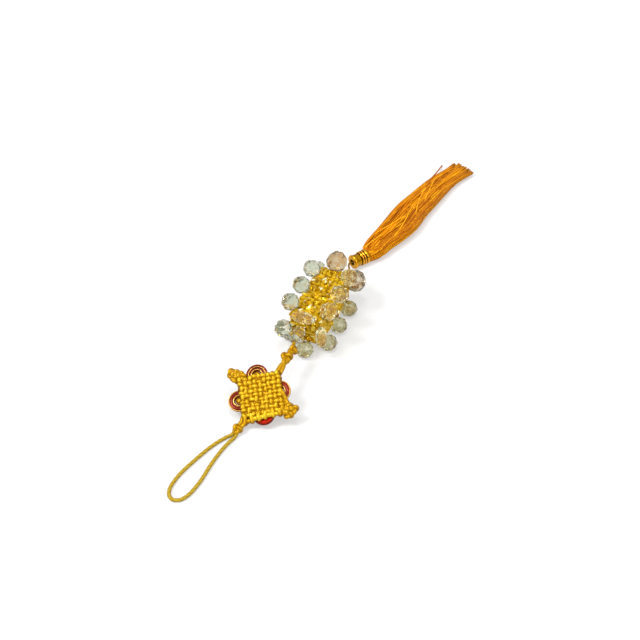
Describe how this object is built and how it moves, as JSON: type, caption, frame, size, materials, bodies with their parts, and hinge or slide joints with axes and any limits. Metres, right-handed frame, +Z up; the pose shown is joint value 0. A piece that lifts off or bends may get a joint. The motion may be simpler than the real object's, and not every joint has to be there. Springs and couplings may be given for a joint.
{
  "type": "beaded tassel",
  "caption": "Hanging charm laid flat: a cord loop and woven square knot with lacquered rings, a square block of faceted beads, and a capped thread tassel.",
  "frame": {"origin": "on the surface that it lies on, under the middle of everything but the hanging loop", "axes": "+X from the loop to the tassel, +Z up from the surface"},
  "size_m": [0.292, 0.043, 0.0278],
  "materials": {
    "knot_cord": "smooth braided cord with a soft sheen",
    "tassel_thread": "twisted rayon thread with a silky sheen",
    "clear_glass": "faceted, with a faint iridescent coating",
    "amber_glass": "small faceted beads, polished",
    "lacquer": "glossy red between gold rims",
    "cap_metal": "polished, darker in its grooves"
  },
  "bodies": {
    "root": {"hanging_loop": "knot_cord", "knotted_cord": "knot_cord", "side_ring_far": "lacquer", "side_ring_near": "lacquer", "side_ring_left": "lacquer", "side_ring_right": "lacquer", "bead_top_left_first": "clear_glass", "bead_top_right_first": "clear_glass", "bead_low_right_first": "clear_glass", "bead_low_left_first": "clear_glass", "bead_top_left_middle": "clear_glass", "bead_top_right_middle": "clear_glass", "bead_low_right_middle": "clear_glass", "bead_low_left_middle": "clear_glass", "bead_top_left_last": "clear_glass", "bead_top_right_last": "clear_glass", "bead_low_right_last": "clear_glass", "bead_low_left_last": "clear_glass", "bead_top_knot_end": "clear_glass", "bead_right_knot_end": "clear_glass", "bead_low_knot_end": "clear_glass", "bead_left_knot_end": "clear_glass", "bead_top_tassel_end": "clear_glass", "bead_right_tassel_end": "clear_glass", "bead_low_tassel_end": "clear_glass", "bead_corner_tassel_end": "clear_glass", "bead_entry": "clear_glass", "bead_link": "clear_glass", "amber_block": "amber_glass", "tassel_cord": "tassel_thread", "tassel_cap": "cap_metal", "tassel": "tassel_thread"}
  },
  "joints": []
}
